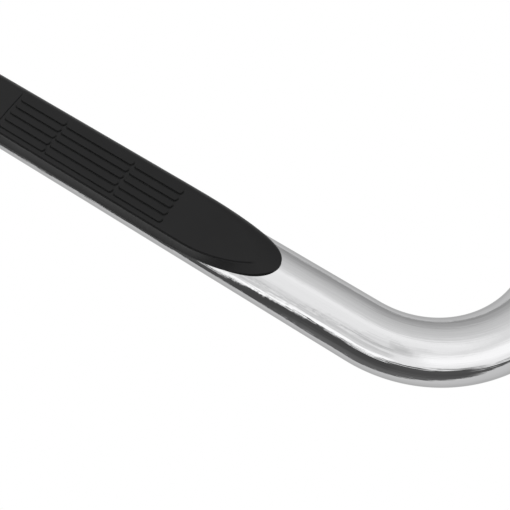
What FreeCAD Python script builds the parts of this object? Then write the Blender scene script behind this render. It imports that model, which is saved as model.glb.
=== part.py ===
"""Running board: a 3 inch round side bar with two moulded step pads, end caps and three bracket sets.

Row frame, in millimetres: +X runs along the bar towards the vehicle's front, +Y is inboard and +Z is up.
The origin is the middle of the middle bracket's slotted foot, on the face that bolts to the vehicle.
Every sub-part is drawn about the tube's axis, and its Placement then moves it into the row frame.
"""
import FreeCAD, Part
import math
import os

import Sketcher
from FreeCAD import Vector

# Driving dimensions: (alias, size in mm or degrees, what it is).
DIMENSIONS = [
    ("tube_radius", 38.1, "outside radius of the 3 inch tube"),
    ("tube_wall", 1.6, "16 gauge tube wall"),
    ("half_run", 1000, "bar centre to the start of each bend"),
    ("bend_radius", 152.4, "centre line radius of each bend"),
    ("tail_length", 40, "straight tube after each bend"),
    ("cap_dome", 5, "middle of an end cap's face, above the tube's end"),
    ("cap_depth", 22, "reach of an end cap into the tube"),
    ("cap_fin_gap", 0.1, "gap between a cap's fins and the bore"),
    ("cap_groove", 0.8, "depth of the grooves between the fins"),
    ("cap_wall", 2, "wall of a cap's hollow barrel"),
    ("cap_roof", 0.8, "roof of the hollow, above the tube's end"),
    ("fit_gap", 0.05, "clearance of a close fit"),
    ("pad_centre", 465, "bar centre to the middle of each step pad"),
    ("pad_straight", 275, "half of the pad's full-width length"),
    ("nose_length", 150, "length of each rounded nose"),
    ("pad_wrap", 70.8, "angle from the top to the pad's lower edge"),
    ("pad_inside", 38.15, "radius of the pad's underside"),
    ("pad_blank", 36, "radius of the underside before it is cut to the tube"),
    ("pad_outside", 39.8, "radius of the pad's thin lower edge"),
    ("plateau_height", 41, "flat top above the tube's axis"),
    ("crease_height", 40.2, "crease between flat top and skirt"),
    ("crease_width", 32.6, "half width at the crease"),
    ("plateau_width", 31.2, "half width of the flat top"),
    ("tooth_pitch", 10.33, "ridge to ridge across the pad"),
    ("tooth_height", 1.5, "sharp edge of a ridge above the flat top"),
    ("tooth_root", 40, "height at which a ridge starts inside the pad"),
    ("end_group_start", 215, "pad middle to the outer group of ridges"),
    ("end_group_length", 66, "length of the outer group"),
    ("long_group_start", 112, "pad middle to the long group of ridges"),
    ("long_group_length", 98, "length of the long group"),
    ("inner_group_start", 41, "pad middle to the inner group of ridges"),
    ("inner_group_length", 67, "length of the inner group"),
    ("groove_place", 34.3, "pad middle to the cross groove"),
    ("groove_width", 1.4, "width of the cross groove"),
    ("groove_depth", 1, "depth of the cross groove"),
    ("tape_band", 39, "underside radius where the foam tapes lie"),
    ("band_wrap", 25, "angle of the tape band to each side of the top"),
    ("band_half_length", 320, "half length of the tape band"),
    ("tape_half_length", 300, "half length of each foam tape"),
    ("tape_near", 12, "angle from the top to a tape's near edge"),
    ("tape_far", 23, "angle from the top to a tape's far edge"),
    ("tape_gap", 0.02, "clearance over and under a tape"),
    ("cell_length", 56, "length of each hollow under the shoulders"),
    ("cell_pitch", 60, "hollow to hollow along the pad"),
    ("cell_inner", 16, "tube axis to a hollow's inner side"),
    ("cell_outer", 34.6, "tube axis to a hollow's lower tip"),
    ("cell_mouth", 31, "bottom of the inner side, above the axis"),
    ("cell_low", 14, "lower tip of a hollow, above the axis"),
    ("cell_roof", 2.7, "skin between a hollow and the flat top"),
    ("cell_skin", 3.6, "skin between a hollow and the crease"),
    ("clip_inner", 110, "pad middle to the inner clips"),
    ("clip_outer", 330, "pad middle to the outer clips"),
    ("clip_hole_radius", 4, "clip hole in the tube's top"),
    ("clip_head_radius", 7, "moulded-in head of a clip"),
    ("clip_head_top", 39.35, "top of a clip's head"),
    ("clip_stem_gap", 0.8, "gap between a clip's stem and its hole"),
    ("clip_barb_grip", 0.9, "reach of a barb beyond the hole's edge"),
    ("clip_barb_gap", 1.6, "tube's inner wall to a barb"),
    ("clip_barb_edge", 1, "height of a barb's widest part"),
    ("clip_barb_length", 9, "barb's top to the clip's tip"),
    ("clip_tip_radius", 1.8, "tip of a clip"),
    ("clip_pocket_radius", 7.3, "pocket for a clip's head"),
    ("clip_pocket_top", 39.5, "roof of that pocket"),
    ("insert_hole_radius", 5.5, "hole for a threaded insert"),
    ("insert_length", 18, "tube's surface to the inner end of an insert"),
    ("flange_radius", 7.5, "flange of an insert"),
    ("flange_height", 1.2, "thickness of that flange"),
    ("flange_hole_radius", 8.2, "isolator hole round a flange"),
    ("bulge_radius", 7.2, "crimped bulge of an insert"),
    ("bracket_place", 800, "bar centre to the front and rear brackets"),
    ("bracket_length", 90, "length of a saddle along the tube"),
    ("bracket_plate", 5, "steel plate of a bracket"),
    ("isolator_gap", 2, "rubber between tube and saddle"),
    ("saddle_inboard", 118, "angle from the top to the saddle's inboard edge"),
    ("saddle_outboard", 215, "angle from the top to the saddle's outboard edge"),
    ("isolator_overhang", 3, "how far the rubber stands out of the saddle"),
    ("isolator_wrap", 3, "angle by which the rubber stands out of the saddle"),
    ("bolt_spacing", 40, "bracket bolt to bracket bolt"),
    ("bolt_radius", 4, "M8 shank"),
    ("bolt_clearance", 4.5, "M8 clearance hole"),
    ("bolt_length", 25, "shank of a bracket bolt"),
    ("bolt_chamfer", 1, "chamfer at a bolt's end"),
    ("head_height", 5.3, "height of a hex head"),
    ("head_flats", 13, "hex head across its flats"),
    ("flat_washer_bore", 4.2, "bore radius of a flat washer"),
    ("flat_washer_radius", 8, "outside radius of a flat washer"),
    ("flat_washer_height", 1.6, "thickness of a flat washer"),
    ("spring_washer_bore", 4.1, "bore radius of a spring washer"),
    ("spring_washer_radius", 7.2, "outside radius of a spring washer"),
    ("spring_washer_height", 2, "thickness of a spring washer"),
    ("bolt_flat", 44.2, "pressed flat for the washers, below the axis"),
    ("bolt_flat_width", 20, "width of that flat"),
    ("web_inner", 16, "tube axis to the near face of the web"),
    ("web_top", 38, "top of the web, below the axis"),
    ("foot_drop", 62, "tube axis down to the bolting face"),
    ("foot_edge", 57, "tube axis to the foot's inboard edge"),
    ("foot_length", 110, "length of the foot along the bar"),
    ("foot_corner", 8, "corner radius of the foot"),
    ("slot_inboard", 39, "tube axis to the line of slots"),
    ("slot_spacing", 60, "slot centre to slot centre"),
    ("slot_radius", 5.5, "half width of an M10 slot"),
    ("slot_length", 21, "slot length, end to end"),
]

CLIP_SIDES = ("-dims.clip_outer", "-dims.clip_inner", "dims.clip_inner", "dims.clip_outer")
RIDGES = 5
SHOULDER_CELLS = 9
NOSE_ANGLES = (0, 15, 28, 40, 51, 61, 70, 77, 82, 86)
NOSE_TAPER = 1.13          # power of the nose outline, close to an ellipse
CREASE_START = 313         # pad middle to where the crease turns inwards
CREASE_REACH = 94          # length over which it closes
CREASE_TAPER = 1.5         # power of the crease outline
CREASE_LEAST = 0.35        # narrowest crease, as a share of the nose's width there
NOSE_LIP = 0.2             # nose's tip above its lower edge
CAP_FACE = ((7, 4.2), (2, 3), (0, 1.2))    # domed face: in from the tube's radius, above the tube's end
CAP_GROOVES = (-4, -10, -16)               # start of each groove between a cap's fins
GROOVE_SLOPE = 1                           # slope at each end of such a groove
GROOVE_LENGTH = 5
BULGE = (0.5, 1.2, 2.5, 4.5)               # insert's bulge above the inner wall: start, full, full, end
BRACKETS = (("front", "dims.bracket_place"), ("middle", "0"), ("rear", "-dims.bracket_place"))
PADS = (("front", "dims.pad_centre"), ("rear", "-dims.pad_centre"))

doc = FreeCAD.newDocument("running_board")
dims = doc.addObject("Spreadsheet::Sheet", "dims")
for row, (alias, size, meaning) in enumerate(DIMENSIONS, start=1):
    dims.set(f"A{row}", alias)
    dims.set(f"B{row}", str(size))
    dims.set(f"C{row}", meaning)
    dims.setAlias(f"B{row}", alias)
doc.recompute()

sub_parts = []


# ---- helpers -------------------------------------------------------------------------------------------

def number(formula):
    """The value of a formula over the sheet's aliases, or of a plain number."""
    if isinstance(formula, str):
        return float(dims.evalExpression(formula))
    return float(formula)


def bind(thing, prop, formula):
    """Bind a property to the sheet when its size is a formula."""
    if isinstance(formula, str):
        thing.setExpression(prop, formula)


def new_body(node, along="0", across="0"):
    """A body named for its node, placed in the row frame from its place along and across the bar."""
    body = doc.addObject("PartDesign::Body", node)
    body.Label = node
    body.AllowCompound = True
    body.setExpression(".Placement.Base.x", along)
    body.setExpression(".Placement.Base.y", f"{across} - dims.slot_inboard")
    body.setExpression(".Placement.Base.z", "dims.foot_drop")
    sub_parts.append(body)
    return body


def origin_feature(body, role):
    """One of the body's own origin planes or axes."""
    return next(item for item in body.Origin.OriginFeatures if item.Role == role)


def new_sketch(body, role, name, **offsets):
    """A sketch on one of the body's origin planes, shifted by formulas for its own x, y and z."""
    sketch = body.newObject("Sketcher::SketchObject", name)
    sketch.AttachmentSupport = [(origin_feature(body, role), "")]
    sketch.MapMode = "FlatFace"
    for axis, formula in offsets.items():
        sketch.setExpression(f".AttachmentOffset.Base.{axis}", formula)
    return sketch


def hold(sketch, kind, geometry, end, formula):
    """Hold one coordinate of a point: kind is DistanceX or DistanceY, and end 3 is a centre."""
    index = sketch.addConstraint(Sketcher.Constraint(kind, -1, 1, geometry, end, number(formula)))
    bind(sketch, f"Constraints[{index}]", formula)


def pin_point(sketch, geometry, end, corner):
    """Hold a point of the sketch at a corner given by two formulas."""
    hold(sketch, "DistanceX", geometry, end, corner[0])
    hold(sketch, "DistanceY", geometry, end, corner[1])


def line_or_arc(start, end, arc):
    """The edge from start to end, and whether it runs from end to start because it turns clockwise."""
    if arc is None:
        return Part.LineSegment(Vector(*start), Vector(*end)), False
    centre, clockwise = arc
    first, last = (end, start) if clockwise else (start, end)
    middle = (number(centre[0]), number(centre[1]))
    angles = [math.atan2(point[1] - middle[1], point[0] - middle[0]) for point in (first, last)]
    radius = math.dist(start, middle)
    return Part.ArcOfCircle(Part.Circle(Vector(*middle), Vector(0, 0, 1), radius), *angles), clockwise


def outline(sketch, corners, arcs=None, closed=True):
    """Draw lines through the corners, or arcs (centre, clockwise) where arcs names a corner.

    An arc between two pinned corners has one freedom left, its centre's place along the chord's bisector,
    so the coordinate nearer to that line is the one held.
    """
    arcs = arcs or {}
    points = [(number(x), number(y)) for x, y in corners]
    count = len(corners) if closed else len(corners) - 1
    starts, ends = [], []
    for i in range(count):
        edge, swapped = line_or_arc(points[i], points[(i + 1) % len(points)], arcs.get(i))
        geometry = sketch.addGeometry(edge)
        starts.append((geometry, 2 if swapped else 1))
        ends.append((geometry, 1 if swapped else 2))
    for i in range(count if closed else count - 1):
        sketch.addConstraint(Sketcher.Constraint("Coincident", *ends[i], *starts[(i + 1) % count]))
    for i, start in enumerate(starts):
        pin_point(sketch, *start, corners[i])
    if not closed:
        pin_point(sketch, *ends[-1], corners[-1])
    for i, (centre, _) in arcs.items():
        chord_x, chord_y = (b - a for a, b in zip(points[i], points[(i + 1) % len(points)]))
        if abs(chord_y) > abs(chord_x):
            hold(sketch, "DistanceX", starts[i][0], 3, centre[0])
        else:
            hold(sketch, "DistanceY", starts[i][0], 3, centre[1])


def circle(sketch, centre, radius):
    """A circle whose centre and radius are formulas."""
    middle = Vector(number(centre[0]), number(centre[1]))
    geometry = sketch.addGeometry(Part.Circle(middle, Vector(0, 0, 1), number(radius)))
    pin_point(sketch, geometry, 3, centre)
    index = sketch.addConstraint(Sketcher.Constraint("Radius", geometry, number(radius)))
    bind(sketch, f"Constraints[{index}]", radius)


def polar(radius, angle):
    """Formulas for the point at an angle from the top, measured towards inboard, about the tube's axis."""
    return (f"({radius}) * sin(({angle}) * 1deg)", f"({radius}) * cos(({angle}) * 1deg)")


def ring_sector(sketch, inner, outer, start, end):
    """A curved plate about the tube's axis, between two radii and two angles from the top."""
    corners = [polar(inner, start), polar(inner, end), polar(outer, end), polar(outer, start)]
    axis = ("0", "0")
    outline(sketch, corners, {0: (axis, True), 2: (axis, False)})


def new_pad(body, sketch, length, name, midplane=False):
    """Extrude a sketch along its normal."""
    pad = body.newObject("PartDesign::Pad", name)
    pad.Profile = sketch
    bind(pad, "Length", length)
    pad.Midplane = midplane
    body.Tip = pad
    return pad


def new_pocket(body, sketch, length, name, midplane=False, along_normal=False):
    """Cut a sketch's outline out of the body, and make sure that it removed something."""
    doc.recompute()
    before = body.Shape.Volume
    pocket = body.newObject("PartDesign::Pocket", name)
    pocket.Profile = sketch
    bind(pocket, "Length", length)
    pocket.Midplane = midplane
    pocket.Reversed = along_normal
    body.Tip = pocket
    doc.recompute()
    if body.Shape.Volume >= before:
        raise RuntimeError(f"{name} cut nothing from {body.Label}")
    return pocket


def revolve(body, sketch, name):
    """Turn a sketch about its own vertical axis."""
    solid = body.newObject("PartDesign::Revolution", name)
    solid.Profile = sketch
    solid.ReferenceAxis = (sketch, ["V_Axis"])
    solid.Angle = 360
    body.Tip = solid
    return solid


def mirror(body, features, name):
    """Repeat features on the other side of the body's YZ plane."""
    copy = body.newObject("PartDesign::Mirrored", name)
    copy.Originals = features
    copy.MirrorPlane = (origin_feature(body, "YZ_Plane"), [""])
    body.Tip = copy
    return copy


def repeat_along(body, features, length, count, name):
    """Repeat features along the bar, count times over the length."""
    row = body.newObject("PartDesign::LinearPattern", name)
    row.Originals = features
    row.Direction = (origin_feature(body, "X_Axis"), [""])
    bind(row, "Length", length)
    row.Occurrences = count
    body.Tip = row
    return row


# ---- the tube and its end caps -------------------------------------------------------------------------

def make_main_tube():
    """The bent tube, with clip holes through its top and insert holes through its underside."""
    body = new_body("main_tube")
    bend_x = "dims.half_run"
    tail_x = "(dims.half_run + dims.bend_radius)"
    tail_y = "dims.bend_radius + dims.tail_length"
    path = new_sketch(body, "XY_Plane", "tube_path")
    corners = [
        (f"-{tail_x}", tail_y),
        (f"-{tail_x}", "dims.bend_radius"),
        (f"-{bend_x}", "0"),
        (bend_x, "0"),
        (tail_x, "dims.bend_radius"),
        (tail_x, tail_y),
    ]
    bends = {
        1: ((f"-{bend_x}", "dims.bend_radius"), False),
        3: ((bend_x, "dims.bend_radius"), False),
    }
    outline(path, corners, bends, closed=False)
    section = new_sketch(body, "XZ_Plane", "tube_section", x=f"-{tail_x}", z=f"-({tail_y})")
    circle(section, ("0", "0"), "dims.tube_radius")
    circle(section, ("0", "0"), "dims.tube_radius - dims.tube_wall")
    tube = body.newObject("PartDesign::AdditivePipe", "bent_tube")
    tube.Profile = section
    tube.Spine = path
    body.Tip = tube

    clip_holes = new_sketch(body, "XY_Plane", "clip_hole_places")
    for _, pad_place in PADS:
        for side in CLIP_SIDES:
            circle(clip_holes, (f"{pad_place} + {side}", "0"), "dims.clip_hole_radius")
    new_pocket(body, clip_holes, "2 * dims.tube_radius", "clip_holes", along_normal=True)

    insert_holes = new_sketch(body, "XY_Plane", "insert_hole_places")
    for _, place in BRACKETS:
        for side in ("-", "+"):
            circle(insert_holes, (f"{place} {side} dims.bolt_spacing / 2", "0"), "dims.insert_hole_radius")
    new_pocket(body, insert_holes, "2 * dims.tube_radius", "insert_holes")


def make_end_cap(name, tail_x):
    """A pressed-in plastic plug with a flush domed face and three gripping fins."""
    body = new_body(f"{name}_end_cap", along=tail_x, across="dims.bend_radius + dims.tail_length")
    bore = "dims.tube_radius - dims.tube_wall"
    fin = f"{bore} - dims.cap_fin_gap"
    barrel = f"{fin} - dims.cap_groove"
    inside = f"{barrel} - dims.cap_wall"
    sketch = new_sketch(body, "XY_Plane", "cap_profile")
    corners = [("0", "dims.cap_dome")]
    corners += [(f"dims.tube_radius - {inset}", height) for inset, height in CAP_FACE]
    corners += [("dims.tube_radius", "dims.fit_gap"), (fin, "dims.fit_gap")]
    for start in CAP_GROOVES:
        end = start - GROOVE_LENGTH
        corners += [(fin, start), (barrel, start - GROOVE_SLOPE), (barrel, end + GROOVE_SLOPE), (fin, end)]
    corners += [(fin, "-dims.cap_depth"), (inside, "-dims.cap_depth")]
    corners += [(inside, "dims.cap_roof"), ("0", "dims.cap_roof")]
    outline(sketch, corners)
    revolve(body, sketch, "cap")


# ---- step pads -----------------------------------------------------------------------------------------

def pad_section(sketch, wrap, crease_y, crease_z, plateau_y, plateau_z):
    """The pad's cross-section: underside arc, thin lower edges, skirts, creases and flat top."""
    under, edge = polar("dims.pad_blank", wrap), polar("dims.pad_outside", wrap)
    right = [under, edge, (crease_y, crease_z), (plateau_y, plateau_z)]
    left = [(f"-({y})", z) for y, z in reversed(right)]
    outline(sketch, right + left, {7: (("0", "0"), True)})


def nose_section(body, angle):
    """The section of the nose at an angle along its near-elliptical outline."""
    turn = math.radians(angle)
    reach = number("dims.nose_length") * math.sin(turn)
    along = number("dims.pad_straight") + reach
    wrap = number("dims.pad_wrap") * math.cos(turn) ** NOSE_TAPER
    edge = number("dims.pad_outside")
    half_width = edge * math.sin(math.radians(wrap))
    closing = min(max((along - CREASE_START) / CREASE_REACH, 0), 1)
    full_crease = number("dims.crease_width")
    crease = full_crease * (1 - closing ** 2) ** (CREASE_TAPER / 2)
    crease = max(crease, CREASE_LEAST * half_width)
    share = number("dims.plateau_width") / full_crease
    nose_end = 1 - math.cos(turn)
    top = number("dims.plateau_height") - nose_end ** 4 * (number("dims.plateau_height") - edge - NOSE_LIP)
    fall = (number("dims.plateau_height") - number("dims.crease_height")) * math.cos(turn)
    sketch = new_sketch(body, "YZ_Plane", f"nose_section_{angle}", z=f"dims.pad_straight + {reach:.3f}")
    sizes = (wrap, crease, top - fall, crease * share, top)
    pad_section(sketch, *(f"{size:.4f}" for size in sizes))
    return sketch


def make_ridges(body, name, start, length):
    """One group of saw-tooth ridges, whose sharp edges face outboard."""
    sketch = new_sketch(body, "YZ_Plane", f"{name}_profile", z=start)
    corners = [(f"-{RIDGES} / 2 * dims.tooth_pitch", "dims.tooth_root")]
    for tooth in range(RIDGES):
        sharp = f"({tooth} - {RIDGES} / 2) * dims.tooth_pitch"
        faded = f"({tooth + 1} - {RIDGES} / 2) * dims.tooth_pitch"
        corners.append((sharp, "dims.plateau_height + dims.tooth_height"))
        corners.append((faded, "dims.plateau_height"))
    corners.append((f"{RIDGES} / 2 * dims.tooth_pitch", "dims.tooth_root"))
    outline(sketch, corners)
    return new_pad(body, sketch, length, name)


def make_step_pad(name, place):
    """A moulded pad: full-width middle, rounded noses, ridges, and a hollow underside with cross ribs."""
    body = new_body(f"{name}_step_pad", along=place)
    section = new_sketch(body, "YZ_Plane", "pad_profile")
    pad_section(section, "dims.pad_wrap", "dims.crease_width", "dims.crease_height",
                "dims.plateau_width", "dims.plateau_height")
    new_pad(body, section, "2 * dims.pad_straight", "full_width", midplane=True)

    sections = [nose_section(body, angle) for angle in NOSE_ANGLES]
    nose = body.newObject("PartDesign::AdditiveLoft", "nose")
    nose.Profile = sections[0]
    nose.Sections = sections[1:]
    nose.Ruled = True
    body.Tip = nose
    groups = []
    for group in ("end", "long", "inner"):
        start, length = f"dims.{group}_group_start", f"dims.{group}_group_length"
        groups.append(make_ridges(body, f"{group}_ridges", start, length))

    groove = new_sketch(body, "XZ_Plane", "groove_profile")
    near, far = "dims.groove_place", "dims.groove_place + dims.groove_width"
    floor, roof = "dims.plateau_height - dims.groove_depth", "dims.plateau_height + dims.tooth_height"
    outline(groove, [(near, floor), (far, floor), (far, roof), (near, roof)])
    cross_groove = new_pocket(body, groove, "2 * dims.crease_width", "cross_groove", midplane=True)
    mirror(body, [nose, *groups, cross_groove], "other_end")

    bore = new_sketch(body, "YZ_Plane", "tube_seat_profile")
    circle(bore, ("0", "0"), "dims.pad_inside")
    new_pocket(body, bore, "2 * (dims.pad_straight + dims.nose_length)", "tube_seat", midplane=True)

    band = new_sketch(body, "YZ_Plane", "tape_band_profile")
    ring_sector(band, "dims.pad_blank", "dims.tape_band", "-dims.band_wrap", "dims.band_wrap")
    new_pocket(body, band, "2 * dims.band_half_length", "tape_band_cut", midplane=True)

    pockets = new_sketch(body, "XY_Plane", "clip_pocket_places", z="dims.clip_pocket_top")
    for side in CLIP_SIDES:
        circle(pockets, (side, "0"), "dims.clip_pocket_radius")
    new_pocket(body, pockets, "dims.tube_radius", "clip_pockets")

    first_cell = f"-{SHOULDER_CELLS} / 2 * dims.cell_pitch"
    cells = new_sketch(body, "YZ_Plane", "shoulder_cell_profile", z=first_cell)
    cell_top = "dims.plateau_height - dims.cell_roof"
    right = [("dims.cell_inner", "dims.cell_mouth"), ("dims.cell_outer", "dims.cell_low"),
             ("dims.crease_width - dims.cell_skin", cell_top), ("dims.cell_inner", cell_top)]
    outline(cells, right)
    outline(cells, [(f"-({y})", z) for y, z in right])
    cell = new_pocket(body, cells, "dims.cell_length", "shoulder_cells", along_normal=True)
    repeat_along(body, [cell], f"{SHOULDER_CELLS - 1} * dims.cell_pitch", SHOULDER_CELLS, "cell_row")


def make_pad_clips(name, place):
    """Snap-in nylon clips: a head held in the pad, a stem through the tube and a barb under its wall."""
    body = new_body(f"{name}_pad_clips", along=place)
    head, tip = "dims.clip_head_radius", "dims.clip_tip_radius"
    stem, barb = "dims.clip_hole_radius - dims.clip_stem_gap", "dims.clip_hole_radius + dims.clip_barb_grip"
    seat = "dims.tube_radius + dims.fit_gap"
    barb_top = "dims.tube_radius - dims.tube_wall - dims.clip_barb_gap"
    barb_edge, end = f"{barb_top} - dims.clip_barb_edge", f"{barb_top} - dims.clip_barb_length"
    corners = [("0", "dims.clip_head_top"), (head, "dims.clip_head_top"), (head, seat), (stem, seat),
               (stem, barb_top), (barb, barb_top), (barb, barb_edge), (tip, end), ("0", end)]
    for i, side in enumerate(CLIP_SIDES):
        sketch = new_sketch(body, "XZ_Plane", f"clip_profile_{i}", x=side)
        outline(sketch, corners)
        revolve(body, sketch, f"clip_{i}")


def make_pad_tapes(name, place):
    """Two strips of double-sided foam tape along the pad's underside."""
    body = new_body(f"{name}_pad_tapes", along=place)
    sketch = new_sketch(body, "YZ_Plane", "tape_profile")
    inner = "dims.tube_radius + dims.tape_gap"
    outer = "dims.tape_band - dims.tape_gap"
    ring_sector(sketch, inner, outer, "-dims.tape_far", "-dims.tape_near")
    ring_sector(sketch, inner, outer, "dims.tape_near", "dims.tape_far")
    new_pad(body, sketch, "2 * dims.tape_half_length", "tapes", midplane=True)


# ---- bracket sets --------------------------------------------------------------------------------------

def make_bracket(name, place):
    """A welded bracket: saddle under the tube, web, and a foot with two slots for the vehicle's bolts."""
    body = new_body(f"{name}_mounting_bracket", along=place)
    saddle_inside = "dims.tube_radius + dims.isolator_gap"
    saddle_outside = f"{saddle_inside} + dims.bracket_plate"
    saddle = new_sketch(body, "YZ_Plane", "saddle_profile")
    ring_sector(saddle, saddle_inside, saddle_outside, "dims.saddle_inboard", "dims.saddle_outboard")
    new_pad(body, saddle, "dims.bracket_length", "saddle", midplane=True)

    web = new_sketch(body, "YZ_Plane", "web_profile")
    near, far = "dims.web_inner", "dims.web_inner + dims.bracket_plate"
    low, high = "-dims.foot_drop + dims.bracket_plate / 2", "-dims.web_top"
    outline(web, [(near, low), (far, low), (far, high), (near, high)])
    new_pad(body, web, "dims.bracket_length", "web", midplane=True)

    foot = new_sketch(body, "XY_Plane", "foot_plan", z="-dims.foot_drop")
    make_rounded_plate(foot)
    new_pad(body, foot, "dims.bracket_plate", "foot")

    flat = new_sketch(body, "YZ_Plane", "bolt_flat_profile")
    half_flat = "dims.bolt_flat_width / 2"
    low, high = "-dims.foot_drop", "-dims.bolt_flat"
    outline(flat, [(f"-{half_flat}", low), (half_flat, low), (half_flat, high), (f"-{half_flat}", high)])
    new_pocket(body, flat, "dims.bracket_length", "bolt_flat_cut", midplane=True)

    holes = new_sketch(body, "XY_Plane", "bolt_hole_places")
    for side in ("-", "+"):
        circle(holes, (f"{side}dims.bolt_spacing / 2", "0"), "dims.bolt_clearance")
    new_pocket(body, holes, "dims.foot_drop", "bolt_holes")

    slots = new_sketch(body, "XY_Plane", "slot_places", z="-dims.foot_drop")
    for side in ("-", "+"):
        make_slot(slots, f"{side}dims.slot_spacing / 2")
    new_pocket(body, slots, "2 * dims.bracket_plate", "slots", along_normal=True)


def make_rounded_plate(sketch):
    """The foot's plan: square at the web, with rounded corners at its inboard edge."""
    half, corner = "dims.foot_length / 2", "dims.foot_corner"
    near, far = "dims.web_inner", "dims.foot_edge"
    corners = [(f"-{half}", near), (half, near), (half, f"{far} - {corner}"), (f"{half} - {corner}", far),
               (f"-{half} + {corner}", far), (f"-{half}", f"{far} - {corner}")]
    rounds = {
        2: ((f"{half} - {corner}", f"{far} - {corner}"), False),
        4: ((f"-{half} + {corner}", f"{far} - {corner}"), False),
    }
    outline(sketch, corners, rounds)


def make_slot(sketch, centre):
    """A slot that runs along the bar, with round ends."""
    radius, line = "dims.slot_radius", "dims.slot_inboard"
    straight = "(dims.slot_length / 2 - dims.slot_radius)"
    left, right = f"{centre} - {straight}", f"{centre} + {straight}"
    corners = [(left, f"{line} - {radius}"), (right, f"{line} - {radius}"), (right, f"{line} + {radius}"),
               (left, f"{line} + {radius}")]
    outline(sketch, corners, {1: ((right, line), False), 3: ((left, line), False)})


def make_isolator(name, place):
    """The rubber liner between the tube and a saddle, with holes for the inserts' flanges."""
    body = new_body(f"{name}_isolator", along=place)
    sketch = new_sketch(body, "YZ_Plane", "isolator_profile")
    ring_sector(sketch, "dims.tube_radius", "dims.tube_radius + dims.isolator_gap",
                "dims.saddle_inboard - dims.isolator_wrap", "dims.saddle_outboard + dims.isolator_wrap")
    new_pad(body, sketch, "dims.bracket_length + 2 * dims.isolator_overhang", "liner", midplane=True)
    holes = new_sketch(body, "XY_Plane", "flange_hole_places")
    for side in ("-", "+"):
        circle(holes, (f"{side}dims.bolt_spacing / 2", "0"), "dims.flange_hole_radius")
    new_pocket(body, holes, "dims.foot_drop", "flange_holes")


def make_bolt_row(node, place, corners):
    """Two like turned pieces, one at each bracket bolt, drawn as (radius, height) about the bolt's axis."""
    body = new_body(node, along=place)
    sketch = new_sketch(body, "XZ_Plane", "turned_profile", x="-dims.bolt_spacing / 2")
    outline(sketch, corners)
    turned = revolve(body, sketch, "turned")
    return body, turned


def make_threaded_inserts(name, place):
    """Rivet nuts: a flange outside the wall, a crimped bulge inside it and a threaded barrel."""
    bore, barrel = "dims.bolt_radius + dims.fit_gap", "dims.insert_hole_radius - dims.fit_gap"
    flange, bulge = "dims.flange_radius", "dims.bulge_radius"
    flange_top = "-dims.tube_radius"
    flange_low, end = f"{flange_top} - dims.flange_height", f"{flange_top} + dims.insert_length"
    inner_wall = "-(dims.tube_radius - dims.tube_wall) + dims.fit_gap"
    crimp = [f"{inner_wall} + {height}" for height in BULGE]
    corners = [(bore, flange_low), (flange, flange_low), (flange, flange_top), (barrel, flange_top)]
    corners += zip((barrel, bulge, bulge, barrel), crimp)
    corners += [(barrel, end), (bore, end)]
    body, insert = make_bolt_row(f"{name}_threaded_inserts", place, corners)
    repeat_along(body, [insert], "dims.bolt_spacing", 2, "both_inserts")


def make_washer_pair(bracket, kind, place, top):
    """Two plain rings stacked on the bolts."""
    bore, outside = f"dims.{kind}_washer_bore", f"dims.{kind}_washer_radius"
    low = f"{top} - dims.{kind}_washer_height"
    corners = [(bore, low), (outside, low), (outside, top), (bore, top)]
    body, ring = make_bolt_row(f"{bracket}_{kind}_washers", place, corners)
    repeat_along(body, [ring], "dims.bolt_spacing", 2, "both_washers")


def make_bracket_bolts(name, place):
    """M8 by 25 hex bolts, whose heads hang under the saddle."""
    seat = "-dims.bolt_flat - dims.flat_washer_height - dims.spring_washer_height"
    root, end = f"{seat} - dims.head_height / 2", f"{seat} + dims.bolt_length"
    shank_radius, end_radius = "dims.bolt_radius", "dims.bolt_radius - dims.bolt_chamfer"
    corners = [("0", root), (shank_radius, root), (shank_radius, f"{end} - dims.bolt_chamfer"),
               (end_radius, end), ("0", end)]
    body, shank = make_bolt_row(f"{name}_bracket_bolts", place, corners)
    head_low = f"{seat} - dims.head_height"
    head = new_sketch(body, "XY_Plane", "hex_head_plan", x="-dims.bolt_spacing / 2", z=head_low)
    corner = number("dims.head_flats") / math.sqrt(3)
    turns = [math.radians(60 * i) for i in range(6)]
    outline(head, [(corner * math.cos(turn), corner * math.sin(turn)) for turn in turns])
    hex_head = new_pad(body, head, "dims.head_height", "hex_head")
    repeat_along(body, [shank, hex_head], "dims.bolt_spacing", 2, "both_bolts")


# ---- build, check and write ----------------------------------------------------------------------------

make_main_tube()
for pad_name, pad_place in PADS:
    make_step_pad(pad_name, pad_place)
    make_pad_clips(pad_name, pad_place)
    make_pad_tapes(pad_name, pad_place)
make_end_cap("front", "dims.half_run + dims.bend_radius")
make_end_cap("rear", "-dims.half_run - dims.bend_radius")
for bracket_name, bracket_place in BRACKETS:
    make_bracket(bracket_name, bracket_place)
    make_isolator(bracket_name, bracket_place)
    make_threaded_inserts(bracket_name, bracket_place)
    make_bracket_bolts(bracket_name, bracket_place)
    make_washer_pair(bracket_name, "flat", bracket_place, "-dims.bolt_flat")
    make_washer_pair(bracket_name, "spring", bracket_place, "-dims.bolt_flat - dims.flat_washer_height")
doc.recompute()

for item in doc.Objects:
    if "Invalid" in item.State or "Error" in item.State:
        raise RuntimeError(f"{item.Label} failed: {item.State}")
for part in sub_parts:
    if part.Shape.isNull() or not part.Shape.isValid():
        raise RuntimeError(f"{part.Label} has no valid shape")

os.makedirs("parts", exist_ok=True)
for part in sub_parts:
    part.Shape.exportStep(os.path.join("parts", f"{part.Label}.step"))
    print(part.Label, len(part.Shape.Solids), round(part.Shape.Volume / 1000, 2), "cm3")
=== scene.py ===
"""Looks of the running board: polished bent tube, moulded step pads, end plugs and bracket hardware."""
import math

import bpy
import bmesh
from mathutils import Matrix, Vector


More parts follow.
